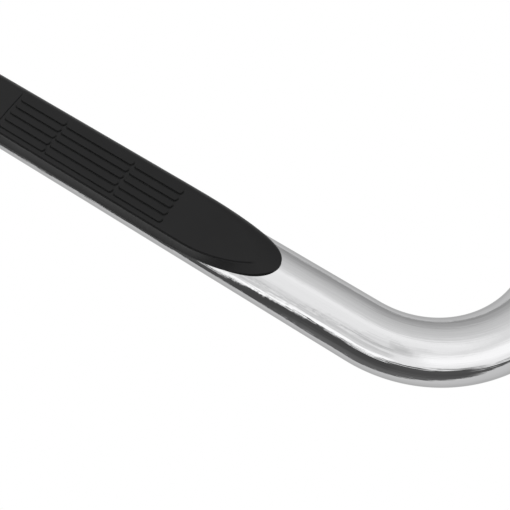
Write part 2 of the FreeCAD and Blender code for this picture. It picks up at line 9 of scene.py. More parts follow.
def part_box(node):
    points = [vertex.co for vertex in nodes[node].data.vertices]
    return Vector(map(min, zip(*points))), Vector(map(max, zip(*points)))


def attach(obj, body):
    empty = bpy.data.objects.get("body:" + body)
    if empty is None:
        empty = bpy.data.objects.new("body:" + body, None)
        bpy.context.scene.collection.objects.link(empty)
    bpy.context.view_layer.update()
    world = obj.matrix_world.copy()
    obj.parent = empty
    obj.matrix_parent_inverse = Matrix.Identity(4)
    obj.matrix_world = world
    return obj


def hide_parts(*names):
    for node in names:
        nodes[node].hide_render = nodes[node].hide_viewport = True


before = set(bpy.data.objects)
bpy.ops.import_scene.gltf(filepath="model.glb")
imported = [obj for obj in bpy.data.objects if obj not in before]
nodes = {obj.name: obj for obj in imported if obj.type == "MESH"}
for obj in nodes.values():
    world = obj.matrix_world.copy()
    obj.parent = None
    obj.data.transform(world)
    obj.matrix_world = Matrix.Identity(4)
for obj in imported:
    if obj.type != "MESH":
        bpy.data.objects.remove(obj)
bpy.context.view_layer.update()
scene = bpy.context.scene

# ---- sizes, in metres, from the CAD frame ----------------------------------------------------------------

tube_low, tube_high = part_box("main_tube")
TUBE_RADIUS = (tube_high.z - tube_low.z) / 2
TUBE_WALL = 0.0016
AXIS_Y = tube_low.y + TUBE_RADIUS
AXIS_Z = tube_low.z + TUBE_RADIUS
BEND_RADIUS = 0.1524
TAIL_X = tube_high.x - TUBE_RADIUS
TAIL_END = tube_high.y - AXIS_Y
HALF_RUN = TAIL_X - BEND_RADIUS
MM = 0.001

AROUND = 160                      # faces round the tube
TAIL_STEPS = 5                    # rings along each tail, each bend and the straight run
BEND_STEPS = 72
RUN_STEPS = 80
TUBE_WELD = 1e-7                  # distance within which a mesh's points are merged
PLUG_WELD = 1e-6
PAD_WELD = 2e-6


# ---- small helpers ---------------------------------------------------------------------------------------

def smoothstep(low, high, value):
    """0 below low, 1 above high and a smooth rise between."""
    t = min(max((value - low) / (high - low), 0.0), 1.0)
    return t * t * (3 - 2 * t)


def mesh_object(name, points, faces):
    """An object with a smooth-shaded mesh."""
    mesh = bpy.data.meshes.new(name)
    mesh.from_pydata(points, [], faces)
    mesh.update()
    obj = bpy.data.objects.new(name, mesh)
    scene.collection.objects.link(obj)
    for polygon in mesh.polygons:
        polygon.use_smooth = True
    return obj


def weld(obj, distance):
    """Merge points that lie together, drop empty faces and turn the rest outwards."""
    work = bmesh.new()
    work.from_mesh(obj.data)
    bmesh.ops.remove_doubles(work, verts=work.verts, dist=distance)
    bmesh.ops.dissolve_degenerate(work, edges=work.edges, dist=distance)
    bmesh.ops.recalc_face_normals(work, faces=work.faces)
    work.to_mesh(obj.data)
    work.free()
    for polygon in obj.data.polygons:
        polygon.use_smooth = True


def split_edges(obj, name, degrees):
    """Keep edges sharp where the faces turn by more than an angle."""
    split = obj.modifiers.new(name, "EDGE_SPLIT")
    split.split_angle = math.radians(degrees)


def grid_faces(rows, columns, close_columns=False):
    """Quads of a grid whose points are stored row by row."""
    faces = []
    for i in range(rows - 1):
        for j in range(columns if close_columns else columns - 1):
            k = (j + 1) % columns
            faces.append((i * columns + j, i * columns + k, (i + 1) * columns + k, (i + 1) * columns + j))
    return faces


# ---- the bent tube ---------------------------------------------------------------------------------------

def tube_stations():
    """(centre x, centre y, turn, length so far) along the tube, from the rear tail to the front tail."""
    tail = TAIL_END - BEND_RADIUS
    arc = BEND_RADIUS * math.pi / 2
    stations = []
    for i in range(TAIL_STEPS):
        share = i / TAIL_STEPS
        stations.append((-TAIL_X, TAIL_END - tail * share, -math.pi / 2, tail * share))
    length = tail
    for i in range(BEND_STEPS):
        share = i / BEND_STEPS
        turn = -math.pi / 2 * (1 - share)
        stations.append((-HALF_RUN + BEND_RADIUS * math.sin(turn), BEND_RADIUS * (1 - math.cos(turn)), turn,
                         length + arc * share))
    length += arc
    for i in range(RUN_STEPS):
        along = 2 * HALF_RUN * i / RUN_STEPS
        stations.append((-HALF_RUN + along, 0.0, 0.0, length + along))
    length += 2 * HALF_RUN
    for i in range(BEND_STEPS):
        share = i / BEND_STEPS
        turn = math.pi / 2 * share
        stations.append((HALF_RUN + BEND_RADIUS * math.sin(turn), BEND_RADIUS * (1 - math.cos(turn)), turn,
                         length + arc * share))
    length += arc
    for i in range(TAIL_STEPS + 1):
        share = i / TAIL_STEPS
        stations.append((TAIL_X, BEND_RADIUS + tail * share, math.pi / 2, length + tail * share))
    return stations


def ring_points(station, radius):
    """Points round the tube at a station, starting at its top and going towards the outside of the bends."""
    x, y, turn, _ = station
    points = []
    for j in range(AROUND):
        angle = 2 * math.pi * j / AROUND
        out = radius * math.sin(angle)
        points.append((x + out * math.sin(turn), AXIS_Y + y - out * math.cos(turn),
                       AXIS_Z + radius * math.cos(angle)))
    return points


def make_tube():
    """The polished tube as a closed shell, with a UV map of metres along it and turns around it."""
    stations = tube_stations()
    points, lengths = [], []
    for radius, order in ((TUBE_RADIUS, stations), (TUBE_RADIUS - TUBE_WALL, stations[::-1])):
        for station in order:
            points += ring_points(station, radius)
            lengths.append(station[3])
    rings = len(lengths)
    faces = grid_faces(rings, AROUND, close_columns=True)
    last = (rings - 1) * AROUND
    for j in range(AROUND):
        k = (j + 1) % AROUND
        faces.append((last + j, last + k, k, j))
    tube = mesh_object("bent_tube", points, faces)
    uv = tube.data.uv_layers.new(name="along_and_around")
    for polygon in tube.data.polygons:
        columns = [tube.data.loops[i].vertex_index % AROUND for i in polygon.loop_indices]
        wraps = max(columns) - min(columns) > 1
        for i, column in zip(polygon.loop_indices, columns):
            ring = tube.data.loops[i].vertex_index // AROUND
            turn = column / AROUND + (1.0 if wraps and column == 0 else 0.0)
            uv.data[i].uv = (lengths[ring], turn)
    weld(tube, TUBE_WELD)
    split_edges(tube, "cut_ends", 50)
    return tube


# ---- step pads -------------------------------------------------------------------------------------------

# All in millimetres, from the pad's middle and the tube's axis. Near is outboard and far is inboard.
PAD_STRAIGHT = 275.0
NOSE_LENGTH = 149.0
NEAR_TAPER = 1.1                 # powers of the nose's outline
FAR_TAPER = 0.95
NOSE_SKEW = 0.09                 # how far the nose leans forward inboard, as a share of y
NEAR_EDGE = (41.2, 66.8)         # radius, and degrees from the top, of a lower edge
FAR_EDGE = (41.0, 67.8)
TIP_RADIUS = 39.8
LIP_RADIUS = 0.7                 # rounding of the lower edges
LIP_SHARES = (0.0, 0.35, 0.7, 1.0)
LIP_LEAN = 0.012                 # radians by which the rounding leans out
SEAT_RADIUS = 38.15              # underside, just clear of the tube
SEAT_STEPS = 8
PLATEAU_Z = 41.0
CROWN_DROP = 2.4                 # how far the top falls from its middle to the near crease
CREASE_Y = 31.8
CREASE_START = 313.0             # where the crease turns inwards, and the length over which it closes
CREASE_REACH = 94.0
CREASE_TAPER = 0.75              # power of the crease's outline round the nose
CREASE_GROOVE = (1.9, 1.8)       # width and depth
CREASE_STEPS = ((0.15, 0.9), (0.45, 1.0), (0.85, 1.0))    # share of the width, share of the depth
CREASE_FADE = (392.0, 402.0)     # where along the nose the groove runs out
SKIRT_DROP = 0.5                 # skirt's top below the crease
SKIRT_STEPS = 12
NEAR_HOLLOW = Vector((0, -0.8, -0.3))      # pull on the skirt's middle, which makes it slightly hollow
NEAR_MARGIN = 4.0                # flat top to crease
FAR_MARGIN = 7.3
MARGIN_STEPS = 5
FLANK_STEPS = 18
TIP_SETBACK = PAD_STRAIGHT + NOSE_LENGTH - CREASE_START - CREASE_REACH    # crease to edge at the tip
TOP_SETBACK = 14.0               # flat top to crease at the tip
TIP_BLEND = 3.0                  # how far the rounded tip reaches past the flat top
TIP_POWER = 6                    # how late along the nose the rounded tip takes over
TOOTH_PITCH = 10.33
TOOTH_HEIGHT = 1.5
TOOTH_BACK = 1.6                 # length at a ridge's back that is left flat
TOOTH_GROOVE = (1.5, 1.5)        # width and depth of the drain at each ridge's foot
TOOTH_ROUND = 0.3                # rounding of a ridge's edge, and of a drain's sides
DRAIN_ROUND = 0.25
HOOK_FADE = 2.2                  # length over which a drain runs out
HOOK_INSET = 0.5                 # how far inside a ridge's end the hook begins
FRONT_HOOK = (3.0, 5.6)          # corner radius, and how far the drain runs round the ridge's end
BACK_HOOK = (1.5, 2.4)
RIDGE_GROUPS = ((41.0, 108.0), (112.0, 210.0), (215.0, 281.0))
GROUP_MARGIN = 2.0               # reach of a group past its ridges
TOOTH_STARTS = [(tooth - 2.5) * TOOTH_PITCH for tooth in range(5)]
TOOTH_ROWS = (-1.7, -1.5, -1.38, -1.25, -0.8, -0.25, -0.12, 0.0, 0.15, 0.3, 0.7, 1.1, 1.6, 2.2, 2.9, 3.7, 4.6,
              5.6, 7.0)          # rows of points across a ridge, from its foot
RIDGE_ZONE = (30.0, 3.0)         # half width, and depth below the flat top, that ridges may shape
GROOVE_X = 35.0                  # cross groove
GROOVE_WIDTHS = (0.45, 0.8)      # half widths of its floor and its mouth
GROOVE_DEPTH = 2.0
GROOVE_END = (23.5, 25.0)        # y over which it runs out inboard
MIDDLE_COLUMNS = (0.0, 20.0)     # columns of points in the middle, near the groove and near ridge ends
GROOVE_COLUMNS = [0.25 * i for i in range(-6, 7)]
FRONT_COLUMNS = [0.35 * i for i in range(-5, 18)]
BACK_COLUMNS = [0.35 * i for i in range(-5, 10)]
SPAN = 14.0                      # spacing of the columns along a ridge
NOSE_ANGLES = [math.radians(3.5 + 1.5 * i) for i in range(57)] + [math.pi / 2]


def tooth_outline(along_front, along_back, across):
    """Distance inside a ridge's rounded plan, and how much of the drain is left there."""
    side, (corner, hook) = min((along_front, FRONT_HOOK), (along_back, BACK_HOOK))
    if side < corner and across < corner:
        inside = corner - math.hypot(corner - side, corner - across)
    else:
        inside = min(side, across)
    drain = 1.0 - smoothstep(hook - HOOK_FADE, hook, across) if side < HOOK_INSET else 1.0
    return inside, drain


def ridge_height(x, y):
    """How far the moulded ridges, their drains and the cross groove stand above the flat top."""
    x = abs(x)
    width, depth = TOOTH_GROOVE
    height = 0.0
    for low, high in RIDGE_GROUPS:
        if low - GROUP_MARGIN < x < high + GROUP_MARGIN:
            for start in TOOTH_STARTS:
                across = y - start
                if -GROUP_MARGIN < across < TOOTH_PITCH - TOOTH_BACK:
                    inside, drain = tooth_outline(high - x, x - low, across)
                    raised = TOOTH_HEIGHT * (1 - across / TOOTH_PITCH) * smoothstep(0.0, TOOTH_ROUND, inside)
                    cut = smoothstep(-width, DRAIN_ROUND - width, inside)
                    cut *= 1 - smoothstep(-DRAIN_ROUND, 0.0, inside)
                    height += raised - depth * drain * cut
    cross = (1 - smoothstep(*GROOVE_WIDTHS, abs(x - GROOVE_X))) * (1 - smoothstep(*GROOVE_END, y))
    return height - GROOVE_DEPTH * cross


def crease_width(x):
    """Half width of the crease outline at a distance from the pad's middle."""
    closing = min(max((x - CREASE_START) / CREASE_REACH, 0.0), 1.0)
    return CREASE_Y * (1 - closing ** 2) ** CREASE_TAPER


def pad_columns():
    """Places along half of the pad: close together at ridge ends and the groove, then round the nose."""
    places = set(MIDDLE_COLUMNS)
    places.update(GROOVE_X + step for step in GROOVE_COLUMNS)
    for low, high in RIDGE_GROUPS:
        places.update(high - step for step in FRONT_COLUMNS)
        places.update(low + step for step in BACK_COLUMNS)
        spans = max(int((high - low) / SPAN), 1)
        places.update(low + (high - low) * i / spans for i in range(1, spans))
    columns = [(place, 0.0) for place in sorted(places) if place <= PAD_STRAIGHT]
    angles = [math.asin((place - PAD_STRAIGHT) / NOSE_LENGTH) for place in sorted(places)
              if place > PAD_STRAIGHT]
    angles += NOSE_ANGLES
    return columns + [(PAD_STRAIGHT + NOSE_LENGTH * math.sin(angle), angle) for angle in angles]


def plateau_rows():
    """Shares across the flat top, from 0 outboard to 1 inboard, close together along each ridge's foot."""
    near, far = NEAR_MARGIN - CREASE_Y, CREASE_Y - FAR_MARGIN
    rows = {near, far}
    for start in TOOTH_STARTS:
        for step in TOOTH_ROWS:
            if near < start + step < far:
                rows.add(start + step)
    return [(y - near) / (far - near) for y in sorted(rows)]


ROWS = plateau_rows()


def crown(y):
    """Height of the pad's top, which falls away slightly outboard, where y is below zero."""
    return PLATEAU_Z - CROWN_DROP * (min(y, 0.0) / CREASE_Y) ** 2


def tip_share(angle):
    """How far the top and the crease are drawn back round the nose, from 0 at its root to 1 at its tip."""
    return math.sin(angle) ** 4


def nose_lean(angle):
    """Forward lean of a section as a share of y."""
    return NOSE_SKEW * math.sin(angle) ** 2


def rounded_edge(place, shrink, far):
    """Points round a lower edge, and the edge's own place."""
    edge_radius, edge_turn = FAR_EDGE if far else NEAR_EDGE
    radius = TIP_RADIUS + (edge_radius - TIP_RADIUS) * shrink
    wrap = math.radians(edge_turn) * shrink ** (FAR_TAPER if far else NEAR_TAPER)
    points = []
    for share in LIP_SHARES:
        lip = math.pi / 2 * share
        lip_radius = radius - LIP_RADIUS * (1 - math.sin(lip))
        turn = wrap + (LIP_LEAN - LIP_RADIUS * math.cos(lip) / radius) * shrink
        points.append(Vector((place, lip_radius * math.sin(turn), lip_radius * math.cos(turn))))
    return points, Vector((place, radius * math.sin(wrap), radius * math.cos(wrap)))


def far_flank(edge, inner):
    """The inboard flank, one quarter ellipse from the lower edge to the flat top."""
    points = []
    for i in range(1, FLANK_STEPS):
        turn = math.pi / 2 * (1 - i / FLANK_STEPS)
        flank = inner.lerp(edge, math.sin(turn))
        points.append(Vector((flank.x, flank.y, edge.z + (PLATEAU_Z - edge.z) * math.cos(turn))))
    return points


def near_flank(edge, inner, crease, shrink, tip):
    """The outboard flank: a slightly hollow skirt, the crease groove and the top's margin."""
    groove_width, groove_depth = CREASE_GROOVE
    outward = Vector((crease.x - inner.x, crease.y - inner.y, 0)).normalized()
    top = crease + outward * groove_width + Vector((0, 0, -SKIRT_DROP * (1 - tip)))
    floor = Vector((0, 0, -groove_depth * (1 - smoothstep(*CREASE_FADE, crease.x))))
    pull = (edge + top) / 2 + NEAR_HOLLOW * shrink
    points = []
    for i in range(1, SKIRT_STEPS + 1):
        s = i / SKIRT_STEPS
        points.append(edge * (1 - s) ** 2 + pull * 2 * s * (1 - s) + top * s ** 2)
    points += [top.lerp(crease, share) + floor * depth for share, depth in CREASE_STEPS]
    points.append(crease)
    for i in range(1, MARGIN_STEPS + 1):
        point = crease.lerp(inner, i / MARGIN_STEPS)
        points.append(Vector((point.x, point.y, crown(-point.y))))
    return points


def pad_side(place, angle, far):
    """Half a section, from the lower edge up to the flat top, with y measured outwards."""
    shrink = math.cos(angle) if angle < math.pi / 2 else 0.0
    tip = tip_share(angle)
    half, edge = rounded_edge(place, shrink, far)
    crease_x = place - TIP_SETBACK * tip
    width = crease_width(crease_x)
    middle = Vector((crease_x - TOP_SETBACK * tip, 0.0, PLATEAU_Z))
    reach = math.hypot(crease_x - middle.x, width)
    margin = min(FAR_MARGIN if far else NEAR_MARGIN, reach)
    inner = Vector((crease_x, width, PLATEAU_Z)).lerp(middle, margin / reach)
    if far:
        return half + far_flank(edge, inner), inner
    inner.z = crown(-inner.y)
    flank = near_flank(edge, inner, Vector((crease_x, width, crown(-width))), shrink, tip)
    for point in flank:
        share = min(max((point.x - inner.x + TIP_BLEND) / (edge.x - inner.x + TIP_BLEND), 0.0), 1.0)
        round_z = edge.z + (PLATEAU_Z - edge.z) * math.sqrt(1 - share ** 2)
        point.z += (round_z - point.z) * tip ** TIP_POWER
    return half + flank, inner


def pad_column(place, angle):
    """Section points in millimetres, from the outboard lower edge over the top to the inboard lower edge."""
    near_side, near = pad_side(place, angle, far=False)
    far_side, far = pad_side(place, angle, far=True)
    left = [(point.x, -point.y, point.z) for point in near_side]
    right = [tuple(point) for point in far_side[::-1]]
    middle_x = place - (TIP_SETBACK + TOP_SETBACK) * tip_share(angle)
    top = []
    for share in ROWS[1:-1]:
        y = -near.y + (far.y + near.y) * share
        rim = near if y < 0 else far
        bend = abs(y) / max(rim.y, 0.001)
        top.append((middle_x + (rim.x - middle_x) * min(bend, 1.0), y, crown(y)))
    section = left + [(near.x, -near.y, near.z)] + top + [(far.x, far.y, PLATEAU_Z)] + right
    lean = nose_lean(angle)
    half_width, depth = RIDGE_ZONE
    return [(x + lean * y, y, z + ridge_height(x, y) if abs(y) < half_width and z > PLATEAU_Z - depth else z)
            for x, y, z in section]


def make_pad(name, node):
    """One moulded pad, closed by an underside that follows the tube."""
    low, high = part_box(node)
    centre_x = (low.x + high.x) / 2
    right = pad_columns()
    columns = [(-place, angle) for place, angle in right[:0:-1]] + right
    points = []
    for place, angle in columns:
        section = pad_column(abs(place), angle)
        wrap = math.atan2(section[-1][1], section[-1][2])
        lean = nose_lean(angle)
        under = []
        for i in range(SEAT_STEPS + 1):
            turn = wrap * (1 - 2 * i / SEAT_STEPS)
            y = SEAT_RADIUS * math.sin(turn)
            under.append((abs(place) + lean * y, y, SEAT_RADIUS * math.cos(turn)))
        side = -1 if place < 0 else 1
        points += [(centre_x + side * x * MM, AXIS_Y + y * MM, AXIS_Z + z * MM)
                   for x, y, z in section + under]
    around = len(points) // len(columns)
    pad = mesh_object(name, points, grid_faces(len(columns), around, close_columns=True))
    weld(pad, PAD_WELD)
    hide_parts(node)
    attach(pad, "root")
    return pad


# ---- end plugs -------------------------------------------------------------------------------------------

# In millimetres: radius or inset from the bore, and height above the tube's end.
PLUG_FACE = ((0.0, 5.0), (12.0, 4.85), (20.0, 4.6), (26.0, 4.3), (29.0, 4.12), (29.4, 3.75), (30.0, 3.7),
             (30.4, 4.0), (33.0, 3.85), (35.2, 3.55), (36.6, 3.0), (37.5, 2.2), (37.95, 1.3), (38.05, 0.6),
             (38.0, 0.1))
PLUG_SEAT = (0.1, 0.06)
PLUG_GROOVES = (-4.0, -10.0, -16.0)        # top of each groove between the gripping fins
GROOVE_SECTION = ((0.1, 0.0), (0.9, -1.0), (0.9, -4.0), (0.1, -5.0))
PLUG_SKIRT = ((0.3, -22.0), (2.9, -22.0), (2.9, 0.8))


def plug_profile():
    """Half a section of the plug in metres, from the face's middle round to the middle of the hollow."""
    bore = TUBE_RADIUS - TUBE_WALL
    barrel = [PLUG_SEAT]
    for top in PLUG_GROOVES:
        barrel += [(inset, top + height) for inset, height in GROOVE_SECTION]
    barrel += PLUG_SKIRT
    profile = [(radius * MM, height * MM) for radius, height in PLUG_FACE]
    profile += [(bore - inset * MM, height * MM) for inset, height in barrel]
    profile.append((0, barrel[-1][1] * MM))
    return profile


def make_plug(name, node, side):
    """A turned plug with a domed face, a fine moulded ring and gripping fins inside the tube."""
    profile = plug_profile()
    points = []
    for radius, height in profile:
        for j in range(AROUND):
            angle = 2 * math.pi * j / AROUND
            points.append((side * TAIL_X + radius * math.sin(angle), AXIS_Y + TAIL_END + height,
                           AXIS_Z + radius * math.cos(angle)))
    plug = mesh_object(name, points, grid_faces(len(profile), AROUND, close_columns=True))
    weld(plug, PLUG_WELD)
    split_edges(plug, "moulded_edges", 60)
    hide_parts(node)
    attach(plug, "root")
    return plug


# ---- materials -------------------------------------------------------------------------------------------

NOISE_SPAN = (0.3, 0.7)            # usual span of a noise value
STEEL_TONES = ((0.515, 0.515, 0.52), (0.545, 0.545, 0.55))
STEEL_ROUGHNESS = (0.015, 0.045)
STEEL_RIPPLES = (                  # waves to a metre along, waves round the tube, bump depth in metres
    (6.0, 50.0, 0.0005),
    (26.0, 9.0, 0.0006),
    (26.0, 40.0, 0.0002),
)
PEBBLE_SCALE = 1400.0              # pebbles to a metre in moulded plastic
COAT_TONES = ((0.012, 0.012, 0.013), (0.022, 0.022, 0.023))
COAT_ROUGHNESS = (0.38, 0.5)
COAT_PEEL = (900.0, 0.00008)       # waves to a metre, bump depth in metres
ZINC_ROUGHNESS = (0.22, 0.42)
ZINC_GRAIN = (2500.0, 0.00003)
RUBBER_ROUGHNESS = (0.7, 0.9)
BRIGHT_ZINC = ((0.5, 0.51, 0.53), (0.66, 0.67, 0.69))
YELLOW_ZINC = ((0.5, 0.42, 0.24), (0.62, 0.55, 0.36))
PAD_TONE = (0.0118, 0.0118, 0.012)
CAP_TONE = (0.012, 0.012, 0.0125)
NYLON_TONE = (0.45, 0.44, 0.4)
RUBBER_TONE = (0.02, 0.02, 0.021)
FOAM_TONE = (0.03, 0.03, 0.03)


class Shader:
    """A node material built in short steps."""

    def __init__(self, name):
        self.material = bpy.data.materials.new(name)
        self.material.use_nodes = True
        self.tree = self.material.node_tree
        self.surface = self.tree.nodes["Principled BSDF"]

    def add(self, kind, **values):
        node = self.tree.nodes.new(kind)
        for key, value in values.items():
            setattr(node, key, value)
        return node

    def link(self, source, target):
        self.tree.links.new(source, target)

    def set(self, **values):
        for key, value in values.items():
            self.surface.inputs[key.replace("_", " ")].default_value = value

    def coordinates(self, output, scale):
        """Texture coordinates stretched by a scale along each axis."""
        source = self.add("ShaderNodeTexCoord")
        mapping = self.add("ShaderNodeMapping")
        mapping.inputs["Scale"].default_value = scale
        self.link(source.outputs[output], mapping.inputs["Vector"])
        return mapping.outputs["Vector"]

    def noise(self, vector, scale, detail=2.0, roughness=0.5):
        node = self.add("ShaderNodeTexNoise")
        node.inputs["Scale"].default_value = scale
        node.inputs["Detail"].default_value = detail
        node.inputs["Roughness"].default_value = roughness
        self.link(vector, node.inputs["Vector"])
        return node.outputs["Fac"]

    def spread(self, value, low, high):
        """Map a noise value from its usual span to low..high."""
        node = self.add("ShaderNodeMapRange")
        node.inputs["From Min"].default_value = NOISE_SPAN[0]
        node.inputs["From Max"].default_value = NOISE_SPAN[1]
        node.inputs["To Min"].default_value = low
        node.inputs["To Max"].default_value = high
        self.link(value, node.inputs["Value"])
        return node.outputs["Result"]

    def bump(self, height, distance, strength=1.0, normal=None):
        node = self.add("ShaderNodeBump")
        node.inputs["Distance"].default_value = distance
        node.inputs["Strength"].default_value = strength
        self.link(height, node.inputs["Height"])
        if normal is not None:
            self.link(normal, node.inputs["Normal"])
        return node.outputs["Normal"]

    def tint(self, value, dark, light):
        """A base colour that drifts between two tones with a noise value."""
        node = self.add("ShaderNodeMix", data_type="RGBA")
        node.inputs[6].default_value = (*dark, 1)
        node.inputs[7].default_value = (*light, 1)
        self.link(value, node.inputs[0])
        self.link(node.outputs[2], self.surface.inputs["Base Color"])


def polished_steel():
    """Mirror polish with long buffing streaks and the faint ripples that bending leaves."""
    shader = Shader("polished_stainless")
    shader.set(Metallic=1.0, IOR=2.5, Specular_Tint=(0.6, 0.6, 0.6, 1))
    haze = shader.noise(shader.coordinates("UV", (8.0, 60.0, 1.0)), 4.0, detail=3.0, roughness=0.7)
    shader.tint(haze, *STEEL_TONES)
    shader.link(shader.spread(haze, *STEEL_ROUGHNESS), shader.surface.inputs["Roughness"])
    normal = None
    for along, around, depth in STEEL_RIPPLES:
        wave = shader.noise(shader.coordinates("UV", (along, around, 1.0)), 1.0, detail=3.0, roughness=0.6)
        normal = shader.bump(wave, depth, strength=0.5, normal=normal)
    shader.link(normal, shader.surface.inputs["Normal"])
    return shader.material


def moulded_plastic(name, tone, grain, rough, gloss=0.5, ior=1.5):
    """Satin moulded plastic with a fine pebble grain, of a depth in metres, and slight wear."""
    shader = Shader(name)
    shader.set(Specular_IOR_Level=gloss, IOR=ior)
    vector = shader.coordinates("Object", (1.0, 1.0, 1.0))
    pebble = shader.add("ShaderNodeTexVoronoi", feature="SMOOTH_F1")
    pebble.inputs["Scale"].default_value = PEBBLE_SCALE
    shader.link(vector, pebble.inputs["Vector"])
    drift = shader.noise(vector, 22.0, detail=4.0, roughness=0.6)
    shader.tint(drift, tuple(0.85 * c for c in tone), tuple(1.2 * c for c in tone))
    shader.link(shader.spread(drift, rough - 0.04, rough + 0.05), shader.surface.inputs["Roughness"])
    shader.link(shader.bump(pebble.outputs["Distance"], grain, strength=0.6), shader.surface.inputs["Normal"])
    return shader.material


def powder_coat():
    """Satin black powder coat with a light orange peel."""
    shader = Shader("black_powder_coat")
    vector = shader.coordinates("Object", (1.0, 1.0, 1.0))
    scale, depth = COAT_PEEL
    peel = shader.noise(vector, scale, detail=1.0)
    drift = shader.noise(vector, 30.0, detail=3.0)
    shader.tint(drift, *COAT_TONES)
    shader.link(shader.spread(drift, *COAT_ROUGHNESS), shader.surface.inputs["Roughness"])
    shader.link(shader.bump(peel, depth, strength=0.5), shader.surface.inputs["Normal"])
    return shader.material


def plated_steel(name, tones):
    """Zinc plating with soft tarnish and a fine grain."""
    shader = Shader(name)
    shader.set(Metallic=1.0)
    vector = shader.coordinates("Object", (1.0, 1.0, 1.0))
    drift = shader.noise(vector, 160.0, detail=4.0, roughness=0.6)
    shader.tint(drift, *tones)
    shader.link(shader.spread(drift, *ZINC_ROUGHNESS), shader.surface.inputs["Roughness"])
    scale, depth = ZINC_GRAIN
    fine = shader.noise(vector, scale, detail=1.0)
    shader.link(shader.bump(fine, depth, strength=0.4), shader.surface.inputs["Normal"])
    return shader.material


def soft_rubber(name, tone, scale, depth):
    """Matte rubber or foam with fine cells: how many to a metre, and how deep in metres."""
    shader = Shader(name)
    vector = shader.coordinates("Object", (1.0, 1.0, 1.0))
    cells = shader.noise(vector, scale, detail=2.0)
    drift = shader.noise(vector, 40.0, detail=3.0)
    shader.tint(drift, tuple(0.8 * c for c in tone), tuple(1.25 * c for c in tone))
    shader.set(Specular_IOR_Level=0.3)
    shader.link(shader.spread(cells, *RUBBER_ROUGHNESS), shader.surface.inputs["Roughness"])
    shader.link(shader.bump(cells, depth, strength=0.5), shader.surface.inputs["Normal"])
    return shader.material


# ---- studio ----------------------------------------------------------------------------------------------

WORLD_STRENGTH = 2.0
# Grey light as (degrees above the horizon, brightness), from straight outboard round to inboard.
STRIP_LIGHT = ((-90, 0.9), (-50, 0.22), (-28, 0.2), (-12, 0.11), (0, 0.1), (11, 0.14), (13, 1.85), (24, 1.85),
               (28, 1.25), (34, 1.12), (38, 1.02), (42, 1.05), (45, 1.38), (49, 1.38), (52, 0.98), (56, 0.9),
               (60, 1.28), (68, 1.32), (73, 1.22), (79, 1.42), (90, 1.46))
BROAD_LIGHT = ((-90, 0.9), (-50, 0.25), (-25, 0.2), (-8, 0.12), (14, 0.14), (17, 1.45), (44, 1.48),
               (53, 1.15), (60, 0.96), (67, 1.02), (75, 1.12), (82, 1.25), (90, 1.46))
TALL_LIGHT = ((-90, 0.9), (-50, 0.25), (-25, 0.2), (-8, 0.12), (12, 0.14), (15, 1.42), (24, 1.5), (34, 1.78),
              (50, 1.78), (58, 1.55), (66, 1.35), (74, 1.24), (80, 1.45), (90, 1.46))
END_LIGHT = ((-90, 0.9), (-16, 0.9), (-12, 0.18), (4, 0.16), (8, 1.42), (24, 1.56), (34, 1.76), (50, 1.74),
             (58, 1.46), (66, 1.32), (72, 1.5), (90, 1.46))
INBOARD_LIGHT = ((-90, 0.9), (-34, 0.85), (-22, 0.66), (-12, 0.54), (-2, 0.54), (6, 0.65), (16, 0.68),
                 (23, 0.82), (30, 0.9), (37, 0.96), (51, 1.04), (57, 1.1), (63, 1.19), (69, 1.34), (75, 1.56),
                 (90, 1.46))
LIGHT_FADES = ((13, 22), (26, 42), (54, 68), (100, 130))      # degrees from outboard, to the next light
STRIP_DIP = 34.0                 # degrees that the outboard lights hang lower towards the rear
DIP_FADE = (-7, -19)             # degrees from outboard, below zero to the rear, over which they come down

FLOOR_SIZE = (14.0, 3.2)         # metres along and across
FLOOR_EDGE = (-0.74, -0.55)      # y and z of its outboard edge
FLOOR_TURN = 8.0                 # degrees between that edge and the bar
BACKDROP_RADIUS = 40.0

CAMERA_ANGLES = (38.09, 66.85, -5.04)      # azimuth from outboard, elevation and roll, in degrees
CAMERA_DISTANCE = 0.8889
CAMERA_TARGET = Vector((HALF_RUN - 0.1515, AXIS_Y + 0.0121, AXIS_Z))
CAMERA_LENS = 53.98
CAMERA_SENSOR = 36.0


def world_ramp(tree, value, stops):
    """Grey light by elevation: stops are (degrees above the horizon, brightness)."""
    ramp = tree.nodes.new("ShaderNodeValToRGB")
    elements = ramp.color_ramp.elements
    while len(elements) < len(stops):
        elements.new(0.5)
    for element, (degrees, level) in zip(elements, stops):
        element.position = (degrees + 90) / 180
        grey = level / WORLD_STRENGTH
        element.color = (grey, grey, grey, 1)
    tree.links.new(value, ramp.inputs["Fac"])
    return ramp.outputs["Color"]


def world_math(tree, operation, *values):
    """One step of arithmetic on numbers or outputs."""
    node = tree.nodes.new("ShaderNodeMath")
    node.operation = operation
    for socket, value in zip(node.inputs, values):
        if isinstance(value, (int, float)):
            socket.default_value = value
        else:
            tree.links.new(value, socket)
    return node.outputs[0]


def world_fade(tree, azimuth, low, high, near, far):
    """Change from one ramp to the next between two azimuths, in degrees from outboard."""
    share = tree.nodes.new("ShaderNodeMapRange")
    share.interpolation_type = "SMOOTHSTEP"
    share.inputs["From Min"].default_value = math.radians(low)
    share.inputs["From Max"].default_value = math.radians(high)
    tree.links.new(azimuth, share.inputs["Value"])
    mix = tree.nodes.new("ShaderNodeMix")
    mix.data_type = "RGBA"
    tree.links.new(share.outputs["Result"], mix.inputs[0])
    tree.links.new(near, mix.inputs[6])
    tree.links.new(far, mix.inputs[7])
    return mix.outputs[2]


